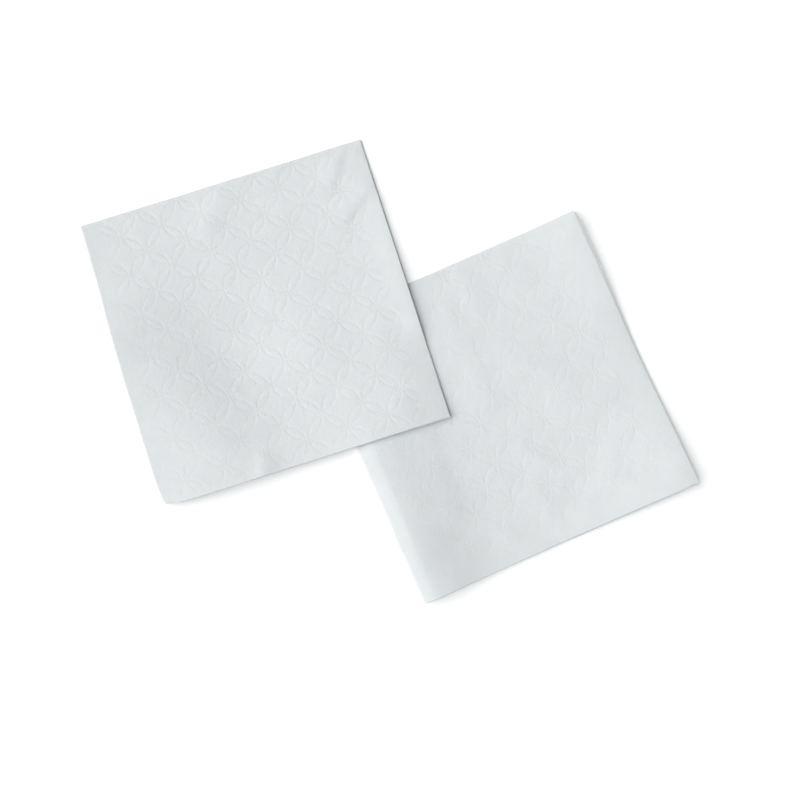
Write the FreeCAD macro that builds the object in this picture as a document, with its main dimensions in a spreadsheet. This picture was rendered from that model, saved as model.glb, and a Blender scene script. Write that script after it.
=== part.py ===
import FreeCAD, Part
import math
import os

from FreeCAD import Placement, Rotation, Vector
from Sketcher import Constraint

# Two square paper napkins, the upper one lying over a corner of the lower one.
# Each is one sheet folded in half, and then in half again across the first fold: four layers.
# The origin is the middle of the lower napkin's underside, on the surface that both rest on.
# In a napkin's own axes the second fold is its -X edge and the first fold its -Y edge.
# Its other two edges are raw. Sizes are in millimetres and degrees.
SIZES = [
    ("folded_side", 165.0, "edge of the folded square, a quarter of a 330 mm sheet"),
    ("sheet_thickness", 0.30, "one embossed two-ply sheet"),
    ("layer_gap", 0.15, "air between two layers that lie on each other"),
    ("fold_swell", 0.60, "how far the second fold stands above the flat layers"),
    ("swell_radius", 40.0, "hollow curve from the swollen fold down to the flat layers"),
    ("half_setback", 1.2, "from the lower half's raw edge back to the upper half's"),
    ("inner_setback", 0.8, "from the outer layers' raw edge back to the inner layers'"),
    ("overlap_across", 62.2, "upper napkin's +X edge to the lower one's corner beneath it"),
    ("overlap_along", 71.8, "upper napkin's -Y edge to the lower one's corner beneath it"),
    ("fan_angle", 5.8, "clockwise turn of the upper napkin, seen from above"),
    ("drape_radius", 180.0, "both curves of the step where the upper napkin climbs"),
    ("step_margin", 3.0, "level run from the top of the step to the lower napkin's corner"),
    ("rest_clearance", 0.05, "between the upper napkin and the fold that it lies on"),
]

START, END, CENTRE = 1, 2, 3
ORIGIN = (-1, 1)


class Size:
    """A size or a formula of sizes: the text that binds a property to the cells, and its value now."""

    def __init__(self, text, value):
        self.text = text
        self.value = value

    def join(self, sign, other, value):
        text = other.text if isinstance(other, Size) else str(other)
        return Size(f"({self.text} {sign} {text})", value)

    def __add__(self, other):
        return self.join("+", other, self.value + number(other))

    def __sub__(self, other):
        return self.join("-", other, self.value - number(other))

    def __mul__(self, other):
        return self.join("*", other, self.value * number(other))

    def __truediv__(self, other):
        return self.join("/", other, self.value / number(other))

    def __neg__(self):
        return Size(f"(-1 * {self.text})", -self.value)


def number(size):
    return size.value if isinstance(size, Size) else size


def cosine(size):
    return Size(f"cos({size.text})", math.cos(math.radians(size.value)))


def sine(size):
    return Size(f"sin({size.text})", math.sin(math.radians(size.value)))


def make_sizes(doc):
    """The spreadsheet of driving dimensions, and each of its cells as a Size."""
    sheet = doc.addObject("Spreadsheet::Sheet", "Sizes")
    for row, (alias, value, note) in enumerate(SIZES, start=1):
        sheet.set(f"A{row}", alias)
        sheet.set(f"B{row}", str(value))
        sheet.set(f"C{row}", note)
        sheet.setAlias(f"B{row}", alias)
    doc.recompute()
    return {alias: Size(f"Sizes.{alias}", float(getattr(sheet, alias))) for alias, _, _ in SIZES}


class FoldedSheet:
    """The heights and radii that the two folds give to the four layers, from the cells."""

    def __init__(self, sizes):
        self.half_side = sizes["folded_side"] / 2
        # A pair is the sheet after the first fold: two layers with a gap between them.
        self.pair_outer = sizes["sheet_thickness"] + sizes["layer_gap"] / 2
        self.pair_inner = sizes["layer_gap"] / 2
        # The second fold lays one pair on the other, and swells where it turns.
        self.pair_rise = (sizes["sheet_thickness"] + sizes["layer_gap"]) * 2
        self.turn_radius = (self.pair_rise + sizes["fold_swell"]) / 2
        self.turn_inset = self.turn_radius + self.pair_outer
        self.fold_height = self.turn_inset * 2


class Outline:
    """A sketch on one of a body's origin planes, drawn end to end and held by bound constraints."""

    def __init__(self, body, name, role):
        self.sketch = body.newObject("Sketcher::SketchObject", name)
        plane = next(f for f in body.Origin.OriginFeatures if f.Role == role)
        self.sketch.AttachmentSupport = [(plane, "")]
        self.sketch.MapMode = "FlatFace"

    def line(self, start, end):
        points = [Vector(x, y, 0) for x, y in (start, end)]
        return self.sketch.addGeometry(Part.LineSegment(*points), False)

    def arc(self, centre, radius, first_deg, last_deg):
        circle = Part.Circle(Vector(*centre, 0), Vector(0, 0, 1), radius)
        angles = [math.radians(a) for a in (first_deg, last_deg)]
        return self.sketch.addGeometry(Part.ArcOfCircle(circle, *angles), False)

    def hold(self, kind, *places):
        self.sketch.addConstraint(Constraint(kind, *places))

    def size(self, kind, places, size):
        index = self.sketch.addConstraint(Constraint(kind, *places, size.value))
        self.sketch.setExpression(f"Constraints[{index}]", size.text)


def draw_pair_section(body, name, sizes, fold, lift):
    """The sheet after its first fold, cut across: two layers, joined by a half round at -Y."""
    section = Outline(body, name, "YZ_Plane")
    section.sketch.AttachmentOffset = Placement(Vector(0, lift.value, fold.half_side.value), Rotation())
    section.sketch.setExpression("AttachmentOffset.Base.y", lift.text)
    section.sketch.setExpression("AttachmentOffset.Base.z", fold.half_side.text)

    inner, outer = fold.pair_inner.value, fold.pair_outer.value
    level = outer
    fold_y = outer - fold.half_side.value
    raw_y = fold.half_side.value
    set_back_y = raw_y - sizes["inner_setback"].value

    underside = section.line((fold_y, level - outer), (raw_y, level - outer))
    raw_end = section.line((raw_y, level - outer), (raw_y, level - inner))
    lower_lining = section.line((raw_y, level - inner), (fold_y, level - inner))
    inner_round = section.arc((fold_y, level), inner, 90, 270)
    upper_lining = section.line((fold_y, level + inner), (set_back_y, level + inner))
    set_back_end = section.line((set_back_y, level + inner), (set_back_y, level + outer))
    top = section.line((set_back_y, level + outer), (fold_y, level + outer))
    outer_round = section.arc((fold_y, level), outer, 90, 270)

    corners = [(underside, raw_end), (raw_end, lower_lining), (upper_lining, set_back_end), (set_back_end, top)]
    for before, after in corners:
        section.hold("Coincident", before, END, after, START)
    section.hold("Tangent", lower_lining, END, inner_round, END)
    section.hold("Tangent", inner_round, START, upper_lining, START)
    section.hold("Tangent", top, END, outer_round, START)
    section.hold("Tangent", outer_round, END, underside, START)
    section.hold("Coincident", inner_round, CENTRE, outer_round, CENTRE)
    for level_line in (underside, lower_lining, upper_lining, top):
        section.hold("Horizontal", level_line)
    for end_line in (raw_end, set_back_end):
        section.hold("Vertical", end_line)
    section.hold("PointOnObject", underside, START, -1)
    section.size("Radius", (outer_round,), fold.pair_outer)
    section.size("Radius", (inner_round,), fold.pair_inner)
    section.size("DistanceX", (outer_round, CENTRE, *ORIGIN), fold.half_side - fold.pair_outer)
    section.size("DistanceX", (*ORIGIN, underside, END), fold.half_side)
    section.size("DistanceX", (set_back_end, START, raw_end, START), sizes["inner_setback"])
    return section.sketch


def draw_turn(path, sizes, fold):
    """The second fold: a round turn at -X, and the hollow curve from its swell to the upper half."""
    radius, hollow = fold.turn_radius.value, sizes["swell_radius"].value
    level = fold.pair_outer.value
    upper_level = level + fold.pair_rise.value
    turn_x = fold.turn_inset.value - fold.half_side.value
    swell_angle = math.acos(1 - sizes["fold_swell"].value / (radius + hollow))
    flat_x = turn_x + (radius + hollow) * math.sin(swell_angle)
    tip = math.degrees(swell_angle)

    turn = path.arc((turn_x, level + radius), radius, 90 - tip, 270)
    swell = path.arc((flat_x, upper_level + hollow), hollow, 270 - tip, 270)
    path.hold("Tangent", turn, START, swell, START)
    path.size("Radius", (turn,), fold.turn_radius)
    path.size("Radius", (swell,), sizes["swell_radius"])
    path.size("DistanceX", (turn, CENTRE, *ORIGIN), fold.half_side - fold.turn_inset)
    return turn, swell, (turn_x, level), (flat_x, upper_level)


def finish_path(path, sizes, fold, floor_run, first_run, upper_run, last_run):
    """What both napkins' paths share: level runs, the two halves' heights and their raw ends."""
    for run in {floor_run, first_run, upper_run, last_run}:
        path.hold("Horizontal", run)
    path.size("DistanceY", (*ORIGIN, floor_run, END), fold.pair_outer)
    path.size("DistanceY", (floor_run, END, upper_run, START), fold.pair_rise)
    path.size("DistanceX", (*ORIGIN, first_run, START), fold.half_side)
    path.size("DistanceX", (last_run, END, first_run, START), sizes["half_setback"])


def draw_flat_path(body, name, sizes, fold):
    """The way that the pair takes through the second fold when the napkin lies flat."""
    path = Outline(body, name, "XZ_Plane")
    turn, swell, turn_foot, swell_foot = draw_turn(path, sizes, fold)
    raw_x = fold.half_side.value
    lower_run = path.line((raw_x, turn_foot[1]), turn_foot)
    upper_run = path.line(swell_foot, (raw_x - sizes["half_setback"].value, swell_foot[1]))
    path.hold("Tangent", lower_run, END, turn, END)
    path.hold("Tangent", swell, END, upper_run, START)
    finish_path(path, sizes, fold, lower_run, lower_run, upper_run, upper_run)
    return path.sketch


def draw_draped_path(body, name, sizes, fold, lift):
    """The same way when the napkin's +X part is lifted: both halves climb one step, parallel."""
    path = Outline(body, name, "XZ_Plane")
    turn, swell, turn_foot, swell_foot = draw_turn(path, sizes, fold)
    reach = sizes["overlap_across"] + sizes["step_margin"]
    raw_x = fold.half_side.value
    crest_x = raw_x - reach.value
    bend = sizes["drape_radius"].value
    climb = math.acos(1 - lift.value / (2 * bend))
    foot_x = crest_x - 2 * bend * math.sin(climb)
    slope = math.degrees(climb)
    floor, rise = turn_foot[1], fold.pair_rise.value

    def step(change):
        """One half's two curves, which share their centres with the other half's."""
        crest = path.arc((crest_x, floor + lift.value - bend), bend + change, 90, 90 + slope)
        foot = path.arc((foot_x, floor + bend), bend - change, 270, 270 + slope)
        path.hold("Tangent", crest, END, foot, END)
        return crest, foot

    high_run = path.line((raw_x, floor + lift.value), (crest_x, floor + lift.value))
    crest, foot = step(0)
    floor_run = path.line((foot_x, floor), turn_foot)
    upper_run = path.line(swell_foot, (foot_x, swell_foot[1]))
    upper_crest, upper_foot = step(rise)
    last_level = swell_foot[1] + lift.value
    last_run = path.line((crest_x, last_level), (raw_x - sizes["half_setback"].value, last_level))

    path.hold("Tangent", high_run, END, crest, START)
    path.hold("Tangent", foot, START, floor_run, START)
    path.hold("Tangent", floor_run, END, turn, END)
    path.hold("Tangent", swell, END, upper_run, START)
    path.hold("Tangent", upper_run, END, upper_foot, START)
    path.hold("Tangent", upper_crest, START, last_run, START)
    path.hold("Coincident", crest, CENTRE, upper_crest, CENTRE)
    path.hold("Coincident", foot, CENTRE, upper_foot, CENTRE)
    path.size("Radius", (crest,), sizes["drape_radius"])
    path.size("Radius", (foot,), sizes["drape_radius"])
    path.size("DistanceX", (crest, CENTRE, high_run, START), reach)
    path.size("DistanceY", (floor_run, END, high_run, END), lift)
    finish_path(path, sizes, fold, floor_run, high_run, upper_run, last_run)
    return path.sketch


def fold_napkin(doc, label, sizes, fold, lift):
    """One napkin: the section of the first fold, swept along the way of the second fold."""
    body = doc.addObject("PartDesign::Body", label)
    body.Label = label
    section = draw_pair_section(body, f"{label}_first_fold", sizes, fold, lift)
    if lift.value:
        path = draw_draped_path(body, f"{label}_second_fold", sizes, fold, lift)
    else:
        path = draw_flat_path(body, f"{label}_second_fold", sizes, fold)
    doc.recompute()
    sheet = body.newObject("PartDesign::AdditivePipe", f"{label}_sheet")
    sheet.Profile = section
    sheet.Spine = (path, [])
    sheet.Mode = "Standard"
    return body


def lay_upper(body, sizes, fold):
    """Turns the upper napkin, and places it so that the lower one's corner lies as far under it."""
    under_x = fold.half_side - sizes["overlap_across"]
    under_y = sizes["overlap_along"] - fold.half_side
    turn_cos, turn_sin = cosine(sizes["fan_angle"]), sine(sizes["fan_angle"])
    base_x = -fold.half_side - under_x * turn_cos - under_y * turn_sin
    base_y = fold.half_side + under_x * turn_sin - under_y * turn_cos
    body.Placement = Placement(
        Vector(base_x.value, base_y.value, 0), Rotation(Vector(0, 0, -1), sizes["fan_angle"].value)
    )
    body.setExpression(".Placement.Base.x", base_x.text)
    body.setExpression(".Placement.Base.y", base_y.text)
    body.setExpression(".Placement.Rotation.Angle", sizes["fan_angle"].text)


def check_and_write(doc, bodies):
    """Stops at any object that failed, then writes one STEP file for each napkin."""
    for made in doc.Objects:
        if "Invalid" in made.State or "Error" in made.State:
            raise RuntimeError(f"{made.Label} failed: {made.State}")
    for body in bodies:
        if body.Shape.isNull() or not body.Shape.isValid() or len(body.Shape.Solids) != 1:
            raise RuntimeError(f"{body.Label} is not one valid solid")
    os.makedirs("parts", exist_ok=True)
    for body in bodies:
        body.Shape.exportStep(os.path.join("parts", f"{body.Label}.step"))
        print(f"{body.Label}: {body.Shape.Volume:.1f} mm3, {len(body.Shape.Faces)} faces")


def main():
    doc = FreeCAD.newDocument("napkins")
    sizes = make_sizes(doc)
    fold = FoldedSheet(sizes)
    on_surface = Size("0", 0.0)
    on_lower = fold.fold_height + sizes["rest_clearance"]
    lower = fold_napkin(doc, "lower_napkin", sizes, fold, on_surface)
    upper = fold_napkin(doc, "upper_napkin", sizes, fold, on_lower)
    lay_upper(upper, sizes, fold)
    doc.recompute()
    check_and_write(doc, [lower, upper])


main()
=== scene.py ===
"""Two embossed paper napkins, folded in quarters, the upper one lying over a corner of the lower one.

Lengths are in millimetres until a mesh, lamp or camera is made. Each napkin is shaped in its own
axes, as the frame's solids are: the second fold along -X, the first fold along -Y, raw edges at +X
and +Y, the surface that it lies on at z = 0.
"""
import math
from dataclasses import dataclass

import bpy
import numpy as np
from mathutils import Matrix, Vector
from mathutils.geometry import delaunay_2d_cdt


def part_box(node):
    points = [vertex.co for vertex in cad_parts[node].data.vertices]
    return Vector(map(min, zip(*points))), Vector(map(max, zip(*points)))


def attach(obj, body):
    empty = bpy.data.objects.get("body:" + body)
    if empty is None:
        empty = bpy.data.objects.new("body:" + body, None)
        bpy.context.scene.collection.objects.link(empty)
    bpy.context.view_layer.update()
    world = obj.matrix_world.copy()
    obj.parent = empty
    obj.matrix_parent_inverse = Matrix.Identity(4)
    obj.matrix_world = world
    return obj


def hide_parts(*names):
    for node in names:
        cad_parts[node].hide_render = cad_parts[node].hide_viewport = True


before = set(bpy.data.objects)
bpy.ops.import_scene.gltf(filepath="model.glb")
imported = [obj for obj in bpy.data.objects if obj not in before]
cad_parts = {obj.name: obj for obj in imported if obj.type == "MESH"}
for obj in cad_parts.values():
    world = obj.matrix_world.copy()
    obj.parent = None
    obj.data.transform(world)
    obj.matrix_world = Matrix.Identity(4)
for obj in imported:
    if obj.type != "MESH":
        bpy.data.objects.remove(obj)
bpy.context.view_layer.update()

MM = 0.001

# The sheet and its folds; the upper half ends short of the lower one, the inner layers of the outer
SHEET = 0.30
LAYER_GAP = 0.15
HALF_SETBACK = 0.4
INNER_SETBACK = 0.5
FIRST_RADIUS = (SHEET + LAYER_GAP) / 2
PAIR_OUTER = SHEET + LAYER_GAP / 2
SECOND_RADIUS = SHEET + LAYER_GAP
STACK = 4 * SHEET + 3 * LAYER_GAP

# How far from a fold or a raw edge the paper is swollen or pressed, and how much
SECOND_SWELL_REACH = 7.0
FIRST_SWELL = 0.3
FIRST_SWELL_REACH = 2.5
FOLD_GROWTH_REACH = 10
PRESSED_REACH = 6.0
PRESSED_STACK = 0.5
PRESSED_SHEET = 0.4

# Small unevenness of the layers' spread, and of the raw edges' line
UNEVEN = 0.10
DIMPLE = 0.07
DIMPLE_LENGTH = 15.0
FRAY = 0.12
FRAY_LENGTH = 31.0
WANDER = 2.0
WANDER_LENGTH = 60.0

# What each kind of unevenness adds to a napkin's seed
FRAY_DRAW = 11
WANDER_DRAW = 40
DIMPLE_DRAW = 70

# Each wave of the unevenness is shorter and weaker than the one before
WAVE_SHORTER = 0.78
WAVE_WEAKER = 0.85

# The embossing: rings that overlap their neighbours, with a hollow in the middle of each
RING_RADIUS = 10.6
TIP_RADIUS = 8.9
TIP_HALF_ANGLE = math.radians(13)
BEADS = 40
BEAD_SAMPLES = 4
LINE_WIDTH = 0.40
BEAD_WIDTH = 0.52
BEAD_DEPTH = 1.9
HOLLOW_WIDTH = 4.6
HOLLOW_DEPTH = 0.12

# How level a ring's line lies where it turns solid, how steep on its rising diagonal, and how
# much weaker its falling diagonal is
SOLID_LEVEL = (0.82, 0.94)
SOLID_RISE = (0.2, 0.6)
FALLING_LOSS = 0.45

# The embossing that is left beside the edges, and the most that a faint place takes away
LEFT_AT_EDGES = 0.06
MOST_FAINT = 0.85

# Where the sheet's points lie: rows beside a ring's line and a fold, steps along rims and folds,
# and the space between the points of a field
ROWS_BESIDE_LINE = (-0.36, 0.36, -0.85, 0.85)
ROWS_BESIDE_FOLD = (0.35, 0.8, 1.4)
LINE_STRIP = 1.4
FOLD_STRIP = 0.4
RIM_STEP = 1.5
FOLD_STEP = 1.4
INNER_FOLD_STEP = 3.0
TOP_STEP = 2.0
UNDER_STEP = 3.5
PLAIN_STEP = 5.0
ROW_SPACING = 0.87
LEAST_SPACING = 0.22
SHARP_ANGLE = math.radians(55)

# The upper napkin's drape: its stiffness as a length, its rest on the lower one, and its grid
DRAPE_LENGTH = 50.0
REST_GAP = 0.12
DRAPE_STEP = 4.0
DRAPE_BORDER = 2
DRAPE_MARGIN = 2.6
DRAPE_TRIALS = 60

# The photograph's frame, and the camera that fits it; the lower napkin lies turned in the picture
PHOTO_PX = 800
FOCAL_PX = 900
SENSOR = 36.0
CAMERA_DISTANCE = 499.0
CAMERA_ELEVATION = 85.9
PHOTO_TURN = 23.6
PICTURE_RIGHT = 0.2 - PHOTO_TURN
CAMERA_AIM = (-49.6, 24.9, 0.0)

# The light: a wide soft sun from the photograph's left, and a weak sky
SUN_ENERGY = 3.54
SUN_WIDTH = math.radians(80)
SUN_AZIMUTH = 184 - PHOTO_TURN
SUN_HEIGHT = 48
SKY_STRENGTH = 0.21
FLOOR_GLOW = 0.2


def ease(low, high, value):
    """0 below low, 1 above high, and a smooth rise between them."""
    t = np.clip((value - low) / (high - low), 0.0, 1.0)
    return t * t * (3 - 2 * t)


def bell(value, width):
    """1 at 0, falling off smoothly on both sides."""
    return np.exp(-((value / width) ** 2))


@dataclass
class Bend:
    """A soft ridge along a straight line that fades at both ends, wider on one side if far_width is set."""

    start: tuple
    end: tuple
    height: float
    width: float
    far_width: float = 0.0

    def at(self, x, y):
        (x0, y0), (x1, y1) = self.start, self.end
        length = math.hypot(x1 - x0, y1 - y0)
        along_x, along_y = (x1 - x0) / length, (y1 - y0) / length
        along = (x - x0) * along_x + (y - y0) * along_y
        across = (y - y0) * along_x - (x - x0) * along_y
        width = np.where(across > 0, self.width, self.far_width or self.width)
        beyond = np.maximum(np.maximum(-along, along - length), 0)
        return self.height * bell(across, width) * bell(beyond, self.width)


@dataclass
class Pattern:
    """Where the embossed rings lie on the top layer, and how deep they are pressed.

    centre is one ring's middle, across and along are the ways to the next ones, and lean is the
    columns' angle. twist and bow are how far the drawn paper carries the columns out of step.
    slant, from 0 to 1, is how unlike the grooves on a ring's two diagonals are.
    """

    centre: tuple
    across: float
    along: float
    lean: float
    twist: float
    bow: float
    depth: float
    slant: float

    def ring_centre(self, column, row):
        x = self.centre[0] + column * self.across + column * row * self.twist + column**2 * self.bow
        y = self.centre[1] - row * self.along
        return x - row * self.along * math.tan(self.lean), y

    def cells(self, x, y):
        """The column and row of the lattice, as fractions, that lie under a point."""
        row = (self.centre[1] - y) / self.along
        column = (x - self.centre[0] + row * self.along * math.tan(self.lean)) / self.across
        return column, row

    def rings_over(self, low, high):
        """The centres of all the rings that reach into a rectangle."""
        corners = [self.cells(x, y) for x in (low[0], high[0]) for y in (low[1], high[1])]
        columns, rows = zip(*corners)
        centres = []
        for step in range(math.floor(2 * min(rows)) - 2, math.ceil(2 * max(rows)) + 3):
            shift = (step % 2) / 2
            for whole in range(math.floor(min(columns)) - 2, math.ceil(max(columns)) + 3):
                centres.append(self.ring_centre(whole + shift, step / 2))
        return centres

    def near_rings(self, x, y):
        """How far points lie from the centre of each ring that may reach them."""
        column, row = self.cells(x, y)
        for shift in (0.0, 0.5):
            near_column = np.round(column - shift) + shift
            near_row = np.round(row - shift) + shift
            for extra_column in (-1, 0, 1):
                for extra_row in (-1, 0, 1):
                    centre_x, centre_y = self.ring_centre(near_column + extra_column, near_row + extra_row)
                    yield x - centre_x, y - centre_y

    def from_line(self, x, y):
        """The distance to the nearest ring's line."""
        return np.min([np.abs(np.hypot(dx, dy) - RING_RADIUS) for dx, dy in self.near_rings(x, y)], axis=0)

    def pressed(self, x, y):
        """How far the embossing pushes the paper in, as a share of its depth."""
        lines = np.max([self.one_ring(dx, dy) for dx, dy in self.near_rings(x, y)], axis=0)
        middle = np.min([np.hypot(dx, dy) for dx, dy in self.near_rings(x, y)], axis=0)
        return lines + HOLLOW_DEPTH * bell(middle, HOLLOW_WIDTH)

    def one_ring(self, x, y):
        """One ring's groove: solid at its left and right, beaded between, unlike on its two diagonals."""
        distance = np.hypot(x, y)
        angle = np.arctan2(y, x)
        level = np.abs(np.cos(angle))
        rising = np.maximum(-np.sin(2 * angle), 0)
        falling = np.maximum(np.sin(2 * angle), 0)
        solid = np.maximum(ease(*SOLID_LEVEL, level), self.slant * ease(*SOLID_RISE, rising))
        beaded = 0.5 + 0.5 * np.cos(BEADS * angle)
        strength = (solid + (1 - solid) * BEAD_DEPTH * beaded) * (1 - self.slant * FALLING_LOSS * falling)
        width = LINE_WIDTH * solid + BEAD_WIDTH * (1 - solid)
        outer = bell(distance - RING_RADIUS, width) * strength
        at_tip = ease(math.cos(TIP_HALF_ANGLE * 1.25), math.cos(TIP_HALF_ANGLE), level)
        inner = bell(distance - TIP_RADIUS, LINE_WIDTH) * at_tip * (0.3 + 0.7 * beaded)
        return np.maximum(outer, inner)


@dataclass
class Napkin:
    """One napkin: where it lies, its embossing, and the soft shape that its paper has taken.

    lifts raise the whole stack, puffs spread its layers, and faint ones take a share of the embossing
    away. plain_right and plain_bottom are the widths without embossing beside a raw edge and a fold.
    skew is how far the upper half is turned against the lower one, swell how far the second fold
    stands open, and corner_cut how far the corner where both folds meet is rounded.
    """

    node: str
    turn: float
    pattern: Pattern
    skew: float
    lifts: list
    puffs: list
    faint: list
    plain_right: float
    plain_bottom: float
    swell: float
    corner_cut: float
    seed: int

    def __post_init__(self):
        low, high = (np.array(corner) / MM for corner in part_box(self.node))
        self.centre = (low + high)[:2] / 2


SIDE = (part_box("lower_napkin")[1][0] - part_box("lower_napkin")[0][0]) / MM
HALF = SIDE / 2
UPPER_WIDTH = (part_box("upper_napkin")[1][0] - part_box("upper_napkin")[0][0]) / MM
# A turned square's box is as wide as its side times the sum of the turn's sine and cosine
FAN_ANGLE = math.asin((UPPER_WIDTH / SIDE) ** 2 - 1) / 2

# Where the folds turn, and the length of sheet that half of each turn takes
FIRST_CENTRE = PAIR_OUTER - HALF
SECOND_CENTRE = SECOND_RADIUS + PAIR_OUTER - HALF
FIRST_QUARTER = FIRST_RADIUS * math.pi / 2
SECOND_QUARTER = SECOND_RADIUS * math.pi / 2

# The flat sheet runs from each fold, at 0, to its raw edges
LOWER_REACH = SECOND_QUARTER + HALF - SECOND_CENTRE
UPPER_REACH = LOWER_REACH - HALF_SETBACK
OUTER_REACH = FIRST_QUARTER + HALF - FIRST_CENTRE
INNER_REACH = OUTER_REACH - INNER_SETBACK

LOWER = Napkin(
    node="lower_napkin",
    turn=0.0,
    pattern=Pattern(
        centre=(46.9, 42.3),
        across=23.75,
        along=23.3,
        lean=math.radians(3.9),
        twist=-0.36,
        bow=0.06,
        depth=0.068,
        slant=1.0,
    ),
    skew=math.radians(0.35),
    # The curled corners: top right, bottom right and bottom left
    lifts=[
        Bend((104, 50), (92, 112), 4.8, 34),
        Bend((112, -52), (52, -112), 4.4, 34),
        Bend((-84, -64), (-70, -100), 2.6, 44),
    ],
    # The swollen band beside the second fold, and faint creases across the rest
    puffs=[
        Bend((-72, 2), (-73, -84), 3.8, 24, 11),
        Bend((-45, 4), (-48, -42), 0.45, 7, 10),
        Bend((-6, 57), (-4, 6), 0.3, 6, 8),
        Bend((10, 84), (9, 60), 0.3, 10, 5),
        Bend((1, -26), (16, -50), 0.3, 4.5, 8),
        Bend((-83, 56), (-83, 34), -0.4, 9),
        Bend((-2, -52), (2, -74), 0.45, 7, 10),
        Bend((-26, -66), (-8, -84), 0.5, 6, 9),
        Bend((10, -82), (40, -60), 0.4, 7, 24),
        Bend((40, -60), (58, -32), 0.3, 8, 26),
        Bend((20, 20), (42, -20), 0.45, 14, 12),
    ],
    # On the swollen band, and along the bottom
    faint=[
        Bend((-60, -16), (-60, -84), 0.6, 25),
        Bend((-20, -70), (60, -72), 0.2, 20),
    ],
    plain_right=13,
    plain_bottom=12,
    swell=0.5,
    corner_cut=0.9,
    seed=3,
)
UPPER = Napkin(
    node="upper_napkin",
    turn=-FAN_ANGLE,
    pattern=Pattern(
        centre=(-39.0, 57.8),
        across=23.35,
        along=23.4,
        lean=math.radians(1.6),
        twist=0.05,
        bow=-0.12,
        depth=0.093,
        slant=0.0,
    ),
    skew=math.radians(0.12),
    # A long swell across the bottom left, and a shallow one beside it
    lifts=[
        Bend((-80, 8), (-38, -84), 5.4, 34, 44),
        Bend((10, -30), (4, -84), 0.5, 26),
    ],
    # A pucker at the bottom edge, the full right edge, and soft creases beside it and at the top
    puffs=[
        Bend((-25, -84), (-22, -74), 0.7, 5, 6),
        Bend((84, -26), (84, 44), 1.6, 11),
        Bend((62, -18), (60, -74), 0.6, 12, 16),
        Bend((66, 47), (84, 60), 0.6, 12, 3.4),
        Bend((60, 66), (67, 76), 0.45, 9, 3.0),
        Bend((-4, 74), (-16, 60), 0.5, 8),
    ],
    # By the second fold, and on the long swell
    faint=[
        Bend((-76, 14), (-42, 2), 0.5, 16),
        Bend((-64, -40), (-24, -78), 0.45, 22),
    ],
    plain_right=11,
    plain_bottom=3,
    swell=0.3,
    corner_cut=2.0,
    seed=8,
)


def waves(x, y, seed, longest=46.0, count=7):
    """Faint unevenness without a direction, between -1 and 1."""
    draw = np.random.default_rng(seed)
    total = np.zeros_like(x)
    for number in range(count):
        length = longest * WAVE_SHORTER**number
        heading = draw.uniform(0, math.pi)
        phase = draw.uniform(0, 2 * math.pi)
        along = x * math.cos(heading) + y * math.sin(heading)
        total += np.sin(2 * math.pi * along / length + phase) * WAVE_WEAKER**number
    return total / count


def fold(napkin, u, v):
    """Where the flat sheet's points come to lie in the flat stack, and how its outer side faces there.

    u runs across the second fold, from the lower half (negative) to the upper half.
    v runs across the first fold, from the outer layers (negative) to the inner layers.
    A fold grows with the stack's swelling, which takes up some of the paper beside it.
    """
    first = np.clip(v, -FIRST_QUARTER, FIRST_QUARTER) / FIRST_RADIUS
    run_y = np.maximum(np.abs(v) - FIRST_QUARTER, 0)
    second = np.clip(u, -SECOND_QUARTER, SECOND_QUARTER) / SECOND_RADIUS
    out_x, out_z = -np.cos(second), np.sin(second)
    run_x = np.maximum(np.abs(u) - SECOND_QUARTER, 0)

    first_growth = stretch(napkin, run_x - HALF, np.full_like(run_x, -HALF)) - 1
    second_growth = stretch(napkin, np.full_like(run_y, -HALF), run_y - HALF) - 1
    reach_y = FIRST_RADIUS * (1 - np.cos(first))
    y = SHEET / 2 - HALF + run_y + reach_y * (1 + first_growth * np.exp(-run_y / FOLD_GROWTH_REACH))
    inward = FIRST_RADIUS * np.sin(first)
    reach_x = SECOND_RADIUS + FIRST_RADIUS + (SECOND_RADIUS - inward) * out_x
    x = SHEET / 2 - HALF + run_x + reach_x * (1 + second_growth * np.exp(-run_x / FOLD_GROWTH_REACH))
    z = PAIR_OUTER + SECOND_RADIUS + (SECOND_RADIUS - inward) * out_z
    facing = np.stack([-np.sin(first) * out_x, -np.cos(first), -np.sin(first) * out_z], axis=-1)
    upper_share = (1 + out_z) / 2
    return np.stack([x, y, z], axis=-1), facing, upper_share


def pattern_place(u, v):
    """The same flat points in the axes of the embossing, which are those of the top layer."""
    return u - SECOND_QUARTER + SECOND_CENTRE, -v - FIRST_QUARTER + FIRST_CENTRE


def flat_place(x, y):
    """From the axes of the embossing back to the flat sheet's."""
    return x - SECOND_CENTRE + SECOND_QUARTER, -(y - FIRST_CENTRE + FIRST_QUARTER)


def spaced(low, high, step):
    """Even places from low to high, about a step apart."""
    return np.linspace(low, high, max(2, round((high - low) / step) + 1))


def fold_lines(quarter):
    """Distances from a fold at which the sheet gets a row of points: close where it turns."""
    turning = spaced(0, quarter, quarter / 4)
    leaving = quarter + np.array(ROWS_BESIDE_FOLD)
    ahead = np.concatenate([turning, leaving])
    return np.concatenate([-ahead[:0:-1], ahead])


def places_across(low, high, step, quarter):
    """Places from one raw edge to the other, with close ones where the sheet turns at a fold."""
    close = fold_lines(quarter)
    even = spaced(low, high, step)
    return np.sort(np.concatenate([even[np.abs(even) > close[-1] + FOLD_STRIP], close]))


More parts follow.
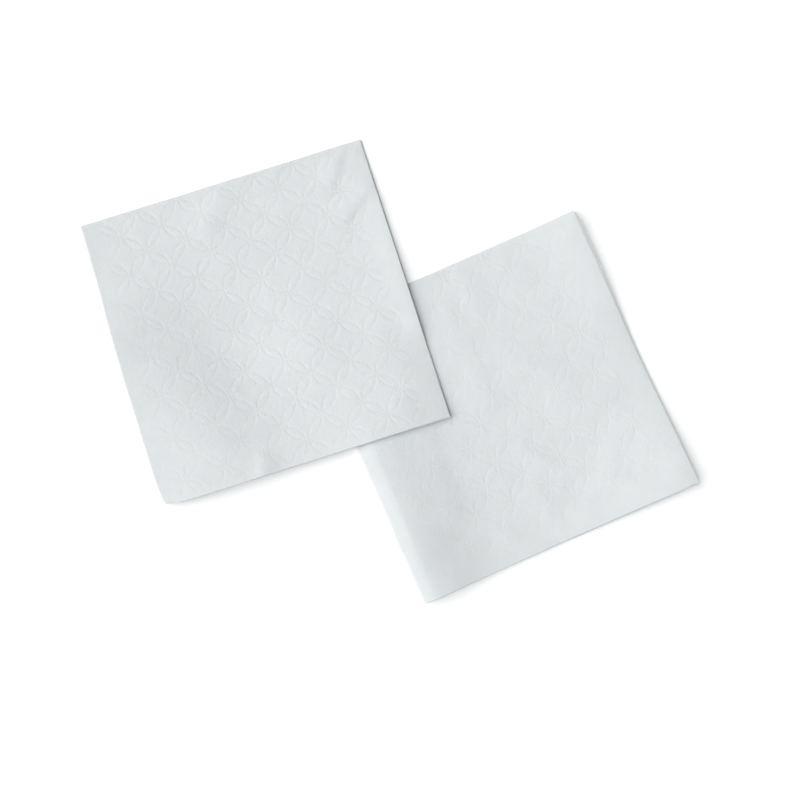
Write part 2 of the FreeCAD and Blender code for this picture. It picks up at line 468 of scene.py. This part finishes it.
def rim_points(step):
    """Points along the sheet's raw edges, in order all the way round."""
    across = places_across(-LOWER_REACH, UPPER_REACH, step, SECOND_QUARTER)
    along = places_across(-OUTER_REACH, INNER_REACH, step, FIRST_QUARTER)
    sides = [
        np.stack([across[:-1], np.full(len(across) - 1, -OUTER_REACH)], axis=1),
        np.stack([np.full(len(along) - 1, UPPER_REACH), along[:-1]], axis=1),
        np.stack([across[:0:-1], np.full(len(across) - 1, INNER_REACH)], axis=1),
        np.stack([np.full(len(along) - 1, -LOWER_REACH), along[:0:-1]], axis=1),
    ]
    return np.concatenate(sides)


def fold_points(step):
    """Rows of points along both folds, on the whole sheet."""
    across_lines, along_lines = fold_lines(SECOND_QUARTER), fold_lines(FIRST_QUARTER)
    along = places_across(-OUTER_REACH, INNER_REACH, step, FIRST_QUARTER)[1:-1]
    across = places_across(-LOWER_REACH, UPPER_REACH, step, SECOND_QUARTER)[1:-1]
    across = across[np.abs(across) > across_lines[-1]]
    second = np.stack(np.meshgrid(across_lines, along), axis=-1).reshape(-1, 2)
    first = np.stack(np.meshgrid(across, along_lines), axis=-1).reshape(-1, 2)
    return np.concatenate([second, first])


def field_points(low, high, step):
    """A plain staggered field of points inside a rectangle of the flat sheet."""
    rows = spaced(low[1], high[1], step * ROW_SPACING)
    points = []
    for number, row in enumerate(rows):
        line = spaced(low[0], high[0], step) + (number % 2) * step / 2
        line = line[line <= high[0]]
        points.append(np.stack([line, np.full(len(line), row)], axis=1))
    return np.concatenate(points)


def arc(centre, reach, turn):
    """Points at one distance from a centre, at the angles given."""
    return np.stack([centre[0] + reach * np.cos(turn), centre[1] + reach * np.sin(turn)], axis=1)


def ring_strip(centre, rows):
    """Points on circles along one ring: rows holds each circle's offset and how many points it has."""
    strips = []
    for offset, count in rows:
        turn = np.arange(count) * 2 * math.pi / count
        strips.append(arc(centre, RING_RADIUS + offset, turn))
    return np.concatenate(strips)


def tip_strips(centre, rows):
    """Points for the short beaded arcs just inside a ring's left and right ends."""
    strips = []
    for side in (0, math.pi):
        for offset, step in rows:
            count = max(3, round(2.6 * TIP_HALF_ANGLE * TIP_RADIUS / step))
            turn = side + np.linspace(-1.3, 1.3, count) * TIP_HALF_ANGLE
            strips.append(arc(centre, TIP_RADIUS + offset, turn))
    return np.concatenate(strips)


def embossed_points(pattern, low, high, rows, tip_rows, field_step):
    """Points over one rectangle of the flat sheet, close along its rings and wide between them."""
    corner_a, corner_b = pattern_place(*low), pattern_place(*high)
    below = (min(corner_a[0], corner_b[0]), min(corner_a[1], corner_b[1]))
    above = (max(corner_a[0], corner_b[0]), max(corner_a[1], corner_b[1]))
    strips = []
    for centre in pattern.rings_over(below, above):
        strips.append(ring_strip(centre, rows))
        if tip_rows:
            strips.append(tip_strips(centre, tip_rows))
    lines = np.stack(flat_place(*np.concatenate(strips).T), axis=1)
    field = field_points(low, high, field_step)
    covered = pattern.from_line(*pattern_place(*field.T)) < LINE_STRIP
    return inside(np.concatenate([lines, field[~covered]]), low, high)


def inside(points, low, high):
    """The points that a rectangle holds."""
    kept = np.all((points >= low) & (points <= high), axis=1)
    return points[kept]


def thinned(points, fixed, least):
    """Drops points that nearly meet another one, and keeps every fixed one."""
    cells = {tuple(cell) for cell in np.floor(fixed / least).astype(int)}
    kept = []
    for number, cell in enumerate(map(tuple, np.floor(points / least).astype(int))):
        if cell not in cells:
            cells.add(cell)
            kept.append(number)
    return points[kept]


def triangles(points):
    """Joins flat points into triangles that all turn the same way."""
    result = delaunay_2d_cdt([Vector(p) for p in points.tolist()], [], [], 0, 1e-7)
    if len(result[0]) != len(points):
        raise RuntimeError("two of the sheet's points coincide")
    return np.array(result[2])


def outer_side_points(napkin, rim, folds):
    """The outer side: fine on top, coarser underneath, and plain between the layers."""
    margin = 1.9
    top_low, top_high = (margin, -OUTER_REACH + 0.5), (UPPER_REACH - 0.5, -margin)
    under_low, under_high = (-LOWER_REACH + 0.5, -OUTER_REACH + 0.5), (-margin, -margin)
    fine_rows = [(0.0, BEADS * BEAD_SAMPLES)] + [(offset, BEADS * 2) for offset in ROWS_BESIDE_LINE]
    fine_tips = [(0.0, 0.41), (-0.36, 0.7), (0.36, 0.7)]
    coarse_rows = [(0.0, 60), (-0.6, 48), (0.6, 48)]
    top = embossed_points(napkin.pattern, top_low, top_high, fine_rows, fine_tips, TOP_STEP)
    under = embossed_points(napkin.pattern, under_low, under_high, coarse_rows, None, UNDER_STEP)
    between = field_points((-LOWER_REACH + 2, margin + 1), (UPPER_REACH - 2, INNER_REACH - 2), PLAIN_STEP)
    between = between[np.abs(between[:, 0]) > margin + 1]
    fixed = np.concatenate([rim, folds])
    return np.concatenate([fixed, thinned(np.concatenate([top, under, between]), fixed, LEAST_SPACING)])


def inner_side_points(rim, folds):
    """The inner side lies between the layers, so it stays plain."""
    low = (-LOWER_REACH + 2, -OUTER_REACH + 2)
    field = field_points(low, (UPPER_REACH - 2, INNER_REACH - 2), PLAIN_STEP)
    field = field[np.all(np.abs(field) > 3, axis=1)]
    return np.concatenate([rim, folds, field])


def edge_fade(napkin, x, y):
    """The share of the embossing that is there: little at the plain edges, the folds and faint places."""
    wander = WANDER * waves(x, y, napkin.seed + WANDER_DRAW, WANDER_LENGTH, 4)
    plain = napkin.plain_right
    right = 1 - ease(plain - 3, plain + 3, np.abs(x) - HALF + 2 * plain + wander)
    bottom = ease(napkin.plain_bottom - 2, napkin.plain_bottom + 3, y + HALF + wander)
    left = ease(2.0, 9.0, x + HALF + wander)
    faint = sum((bend.at(x, y) for bend in napkin.faint), np.zeros_like(x))
    clear = LEFT_AT_EDGES + (1 - LEFT_AT_EDGES) * right * bottom * left
    return clear * (1 - np.minimum(faint, MOST_FAINT))


def emboss(napkin, u, v):
    """The relief of the outer side, in millimetres along its own normal."""
    x, y = pattern_place(u, v)
    on_top_x, on_top_y = np.abs(x + HALF) - HALF, np.abs(y + HALF) - HALF
    relief = -napkin.pattern.depth * napkin.pattern.pressed(x, y) * edge_fade(napkin, on_top_x, on_top_y)
    turning = np.minimum(ease(0.5, 3.0, np.abs(u)), ease(0.3, 2.0, np.abs(v)))
    outer = ease(-0.5, 0.5, -v)
    return relief * turning * outer


def lifted(napkin, x, y):
    """How far its own soft bends raise the whole stack."""
    return sum((bend.at(x, y) for bend in napkin.lifts), np.zeros_like(x))


def near_raw_edge(x, y):
    """1 at the raw edges, which are pressed thin, and less and less away from them."""
    return np.exp((np.maximum(x, y) - HALF) / PRESSED_REACH)


def stretch(napkin, x, y):
    """How far the layers are spread, against the flat stack: the folds swell and the top bulges."""
    from_second = x + HALF
    from_first = y + HALF
    swollen = napkin.swell * np.exp(-from_second / SECOND_SWELL_REACH)
    swollen = swollen + FIRST_SWELL * np.exp(-from_first / FIRST_SWELL_REACH)
    pressed = PRESSED_STACK * near_raw_edge(x, y)
    bulge = sum((bend.at(x, y) for bend in napkin.puffs), np.zeros_like(x))
    off_folds = ease(1.0, 8.0, np.minimum(from_first, from_second))
    dimples = waves(x, y, napkin.seed + DIMPLE_DRAW, DIMPLE_LENGTH, 6) * off_folds
    uneven = UNEVEN * (1 + waves(x, y, napkin.seed)) + DIMPLE * dimples
    return 1 + swollen + (bulge + uneven) / (STACK - SHEET) - pressed


def shape(napkin, u, v, side, base):
    """Folds the flat points, lets the stack take its soft shape, and offsets one side of the sheet."""
    place, facing, upper_share = fold(napkin, u, v)
    x, y, z = place.T
    corner_x, corner_y = x + HALF, y + HALF
    x = x - napkin.skew * upper_share * corner_y
    y = y + napkin.skew * upper_share * corner_x
    rounding = napkin.corner_cut * np.exp(-(corner_x + corner_y) / (3 * napkin.corner_cut))
    fray = FRAY * waves(u, v, napkin.seed + FRAY_DRAW, FRAY_LENGTH)
    x, y = x + rounding + fray, y + rounding - fray
    z = base(x, y) + SHEET / 2 + (z - SHEET / 2) * stretch(napkin, x, y)
    thickness = SHEET * (1 - PRESSED_SHEET * np.minimum(near_raw_edge(x, y), 1))
    offset = side * thickness / 2 + (emboss(napkin, u, v) if side > 0 else np.zeros_like(u))
    return np.stack([x, y, z], axis=-1) + facing * offset[:, None]


def to_frame(napkin, points):
    """From the napkin's own axes to the frame's."""
    cosine, sine = math.cos(napkin.turn), math.sin(napkin.turn)
    x = napkin.centre[0] + points[:, 0] * cosine - points[:, 1] * sine
    y = napkin.centre[1] + points[:, 0] * sine + points[:, 1] * cosine
    return np.stack([x, y, points[:, 2]], axis=1)


def to_napkin(napkin, x, y):
    """From the frame's axes to the napkin's own."""
    cosine, sine = math.cos(napkin.turn), math.sin(napkin.turn)
    x, y = x - napkin.centre[0], y - napkin.centre[1]
    return x * cosine + y * sine, -x * sine + y * cosine


def top_of_lower(x, y):
    """The height of the lower napkin's top at points of the frame, and 0 beside it."""
    own_x, own_y = to_napkin(LOWER, x, y)
    over = np.maximum(np.abs(own_x), np.abs(own_y)) < HALF
    height = lifted(LOWER, own_x, own_y) + SHEET + (STACK - SHEET) * stretch(LOWER, own_x, own_y)
    return np.where(over, height + REST_GAP, 0.0)


def settle(obstacle, step, stiffness):
    """The rest shape of a heavy elastic sheet over an obstacle, both on a square grid.

    stiffness is the bending stiffness over the weight of a unit of area, in cubic millimetres.
    Which points touch is found by trial: a touching point that would pull lets go, and a free
    point that would sink touches.
    """
    count = obstacle.shape[0]
    total = count * count
    number = np.arange(total).reshape(count, count)
    energy = np.zeros((total, total))

    def add(terms, weight):
        """Adds weight times the square of a sum of heights, for many places at once."""
        for places_a, share_a in terms:
            for places_b, share_b in terms:
                np.add.at(energy, (places_a.ravel(), places_b.ravel()), weight * share_a * share_b)

    add([(number[:-2], 1), (number[1:-1], -2), (number[2:], 1)], 1)
    add([(number[:, :-2], 1), (number[:, 1:-1], -2), (number[:, 2:], 1)], 1)
    corners = [(number[1:, 1:], 1), (number[1:, :-1], -1), (number[:-1, 1:], -1), (number[:-1, :-1], 1)]
    add(corners, 2)
    energy *= stiffness / step**4
    height = obstacle.ravel().copy()
    touching = np.ones(total, bool)
    for _ in range(DRAPE_TRIALS):
        free = ~touching
        load = -1 - energy[np.ix_(free, touching)] @ obstacle.ravel()[touching]
        height[touching] = obstacle.ravel()[touching]
        height[free] = np.linalg.solve(energy[np.ix_(free, free)], load) if free.any() else height[free]
        push = energy @ height + 1
        now = np.where(touching, push > 0, height < obstacle.ravel() - 1e-9)
        if np.array_equal(now, touching):
            break
        touching = now
    return height.reshape(count, count)


def sampled(grid, low, step, x, y):
    """Reads a square grid between its points, smoothly."""
    last = grid.shape[0] - 1

    def weights(place):
        place = np.clip((place - low) / step, 0, last - 1e-6)
        whole = np.floor(place).astype(int)
        t = place - whole
        shares = (
            ((2 - t) * t - 1) * t / 2,
            ((3 * t - 5) * t * t + 2) / 2,
            ((4 - 3 * t) * t + 1) * t / 2,
            (t - 1) * t * t / 2,
        )
        places = [np.clip(whole + shift, 0, last) for shift in (-1, 0, 1, 2)]
        return list(zip(places, shares))

    total = np.zeros_like(x)
    for row, row_share in weights(y):
        for column, column_share in weights(x):
            total += grid[row, column] * row_share * column_share
    return total


def draped_base():
    """The upper napkin's underside: it climbs the lower napkin's corner and sags to the floor beside it."""
    reach = HALF + DRAPE_BORDER
    count = math.ceil(2 * reach / DRAPE_STEP) + 1
    line = -reach + DRAPE_STEP * np.arange(count)
    own_x, own_y = np.meshgrid(line, line)
    grid_points = np.stack([own_x.ravel(), own_y.ravel(), np.zeros(count * count)], axis=1)
    x, y, _ = to_frame(UPPER, grid_points).T
    turns = np.linspace(0, 2 * math.pi, 8, endpoint=False)
    round_about = [(DRAPE_MARGIN * math.cos(turn), DRAPE_MARGIN * math.sin(turn)) for turn in turns]
    obstacle = np.max([top_of_lower(x + dx, y + dy) for dx, dy in [(0, 0)] + round_about], axis=0)
    grid = settle(obstacle.reshape(count, count), DRAPE_STEP, stiffness=DRAPE_LENGTH**3)

    def base(x, y):
        return sampled(grid, -reach, DRAPE_STEP, x, y) + lifted(UPPER, x, y)

    return base


def build_napkin(napkin, base):
    """One napkin as a closed thin sheet: its outer side, its inner side and the rim between them."""
    rim = rim_points(RIM_STEP)
    outer = outer_side_points(napkin, rim, fold_points(FOLD_STEP))
    inner = inner_side_points(rim, fold_points(INNER_FOLD_STEP))
    outer_faces = triangles(outer)[:, ::-1]
    inner_faces = triangles(inner) + len(outer)
    here = np.arange(len(rim))
    ahead = np.roll(here, -1)
    rim_a = np.stack([here, ahead, ahead + len(outer)], axis=1)
    rim_b = np.stack([here, ahead + len(outer), here + len(outer)], axis=1)
    vertices = np.concatenate([shape(napkin, *outer.T, 1, base), shape(napkin, *inner.T, -1, base)])
    vertices = to_frame(napkin, vertices) * MM
    faces = np.concatenate([outer_faces, inner_faces, rim_a, rim_b])
    name = f"{napkin.node}_sheet"
    mesh = bpy.data.meshes.new(name)
    mesh.from_pydata(vertices.tolist(), [], faces.tolist())
    mesh.shade_smooth()
    mesh.set_sharp_from_angle(angle=SHARP_ANGLE)
    piece = bpy.data.objects.new(name, mesh)
    bpy.context.scene.collection.objects.link(piece)
    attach(piece, "root")
    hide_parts(napkin.node)
    return piece


def node(tree, kind, **inputs):
    """Adds one shader node and sets its sockets by name."""
    made = tree.nodes.new(kind)
    for socket, value in inputs.items():
        made.inputs[socket.replace("_", " ")].default_value = value
    return made


def paper_material():
    """Soft white tissue: matt, with fine fibres, a crepe grain and a faint unevenness of colour."""
    material = bpy.data.materials.new("napkin_paper")
    material.use_nodes = True
    tree = material.node_tree
    paper = tree.nodes["Principled BSDF"]
    paper.inputs["Roughness"].default_value = 0.92
    paper.inputs["Specular IOR Level"].default_value = 0.18
    paper.inputs["Sheen Weight"].default_value = 0.12
    paper.inputs["Sheen Roughness"].default_value = 0.6
    paper.inputs["Subsurface Weight"].default_value = 0.5
    paper.inputs["Subsurface Radius"].default_value = (1.0, 1.0, 1.0)
    paper.inputs["Subsurface Scale"].default_value = 0.0005
    place = node(tree, "ShaderNodeTexCoord")

    def noise(scale, detail, roughness):
        """A noise that stays where it is on the piece."""
        made = node(tree, "ShaderNodeTexNoise", Scale=scale, Detail=detail, Roughness=roughness)
        tree.links.new(place.outputs["Object"], made.inputs["Vector"])
        return made.outputs["Fac"]

    colours = node(tree, "ShaderNodeValToRGB")
    colours.color_ramp.elements[0].position = 0.3
    colours.color_ramp.elements[0].color = (0.718, 0.744, 0.760, 1)
    colours.color_ramp.elements[1].position = 0.7
    colours.color_ramp.elements[1].color = (0.748, 0.773, 0.789, 1)
    tree.links.new(noise(55.0, 3.0, 0.6), colours.inputs["Fac"])
    tree.links.new(colours.outputs["Color"], paper.inputs["Base Color"])

    grain = node(tree, "ShaderNodeMix", Factor=0.5)
    tree.links.new(noise(1300.0, 4.0, 0.6), grain.inputs["A"])
    tree.links.new(noise(480.0, 2.0, 0.5), grain.inputs["B"])
    bump = node(tree, "ShaderNodeBump", Strength=0.5, Distance=0.0003)
    tree.links.new(grain.outputs["Result"], bump.inputs["Height"])
    tree.links.new(bump.outputs["Normal"], paper.inputs["Normal"])
    return material


def seen_directly(tree):
    """1 for what the camera sees, also in a reflection or through glass, and 0 for light on surfaces."""
    path = node(tree, "ShaderNodeLightPath")
    share = path.outputs["Is Camera Ray"]
    for name in ("Is Glossy Ray", "Is Transmission Ray"):
        larger = node(tree, "ShaderNodeMath")
        larger.operation = "MAXIMUM"
        tree.links.new(share, larger.inputs[0])
        tree.links.new(path.outputs[name], larger.inputs[1])
        share = larger.outputs[0]
    return share


def make_floor():
    """A plain white floor that keeps the napkins' shadow."""
    mesh = bpy.data.meshes.new("floor")
    half = 4.0
    below = -0.0001
    corners = [(-half, -half, below), (half, -half, below), (half, half, below), (-half, half, below)]
    mesh.from_pydata(corners, [], [(0, 1, 2, 3)])
    floor = bpy.data.objects.new("floor", mesh)
    bpy.context.scene.collection.objects.link(floor)
    material = bpy.data.materials.new("floor_white")
    material.use_nodes = True
    tree = material.node_tree
    shader = tree.nodes["Principled BSDF"]
    shader.inputs["Base Color"].default_value = (0.86, 0.865, 0.87, 1)
    shader.inputs["Roughness"].default_value = 1.0
    shader.inputs["Specular IOR Level"].default_value = 0.0
    glow = node(tree, "ShaderNodeEmission", Color=(1, 1, 1, 1))
    share = node(tree, "ShaderNodeMath")
    share.operation = "MULTIPLY"
    share.inputs[1].default_value = FLOOR_GLOW
    tree.links.new(seen_directly(tree), share.inputs[0])
    tree.links.new(share.outputs[0], glow.inputs["Strength"])
    both = node(tree, "ShaderNodeAddShader")
    tree.links.new(shader.outputs["BSDF"], both.inputs[0])
    tree.links.new(glow.outputs["Emission"], both.inputs[1])
    tree.links.new(both.outputs["Shader"], tree.nodes["Material Output"].inputs["Surface"])
    mesh.materials.append(material)


def towards(azimuth, elevation):
    """A unit vector at an angle from +X, and at a height above the floor, both in degrees."""
    level = math.cos(math.radians(elevation))
    turn = math.radians(azimuth)
    return Vector((level * math.cos(turn), level * math.sin(turn), math.sin(math.radians(elevation))))


def make_light():
    """Soft light from the photograph's left, and an even pale sky."""
    sun = bpy.data.lights.new("window", "SUN")
    sun.energy = SUN_ENERGY
    sun.angle = SUN_WIDTH
    sun.color = (1.0, 0.99, 0.975)
    lamp = bpy.data.objects.new("window", sun)
    bpy.context.scene.collection.objects.link(lamp)
    lamp.rotation_euler = towards(SUN_AZIMUTH, SUN_HEIGHT).to_track_quat("Z", "Y").to_euler()
    world = bpy.data.worlds.new("studio")
    world.use_nodes = True
    tree = world.node_tree
    sky = tree.nodes["Background"]
    sky.inputs["Color"].default_value = (0.90, 0.965, 1.0, 1)
    sky.inputs["Strength"].default_value = SKY_STRENGTH
    backdrop = node(tree, "ShaderNodeBackground", Color=(1, 1, 1, 1), Strength=1.0)
    both = node(tree, "ShaderNodeMixShader")
    tree.links.new(seen_directly(tree), both.inputs["Fac"])
    tree.links.new(sky.outputs["Background"], both.inputs[1])
    tree.links.new(backdrop.outputs["Background"], both.inputs[2])
    tree.links.new(both.outputs["Shader"], tree.nodes["World Output"].inputs["Surface"])
    bpy.context.scene.world = world


def make_camera():
    """Almost straight above the napkins, as the photograph was taken."""
    data = bpy.data.cameras.new("camera")
    data.sensor_width = SENSOR
    data.lens = FOCAL_PX / PHOTO_PX * SENSOR
    data.clip_start = 0.01
    data.clip_end = 20
    camera = bpy.data.objects.new("camera", data)
    back = towards(PICTURE_RIGHT - 90, CAMERA_ELEVATION)
    camera.location = (Vector(CAMERA_AIM) + back * CAMERA_DISTANCE) * MM
    turn = math.radians(PICTURE_RIGHT)
    right = Vector((math.cos(turn), math.sin(turn), 0))
    axes = Matrix((right, back.cross(right), back)).transposed()
    camera.rotation_euler = axes.to_euler()
    bpy.context.scene.collection.objects.link(camera)
    bpy.context.scene.camera = camera


def main():
    bpy.context.scene.view_settings.view_transform = "Standard"
    make_camera()
    make_light()
    make_floor()
    paper = paper_material()
    lower = build_napkin(LOWER, lambda x, y: lifted(LOWER, x, y))
    upper = build_napkin(UPPER, draped_base())
    for piece in (lower, upper):
        piece.data.materials.append(paper)


main()
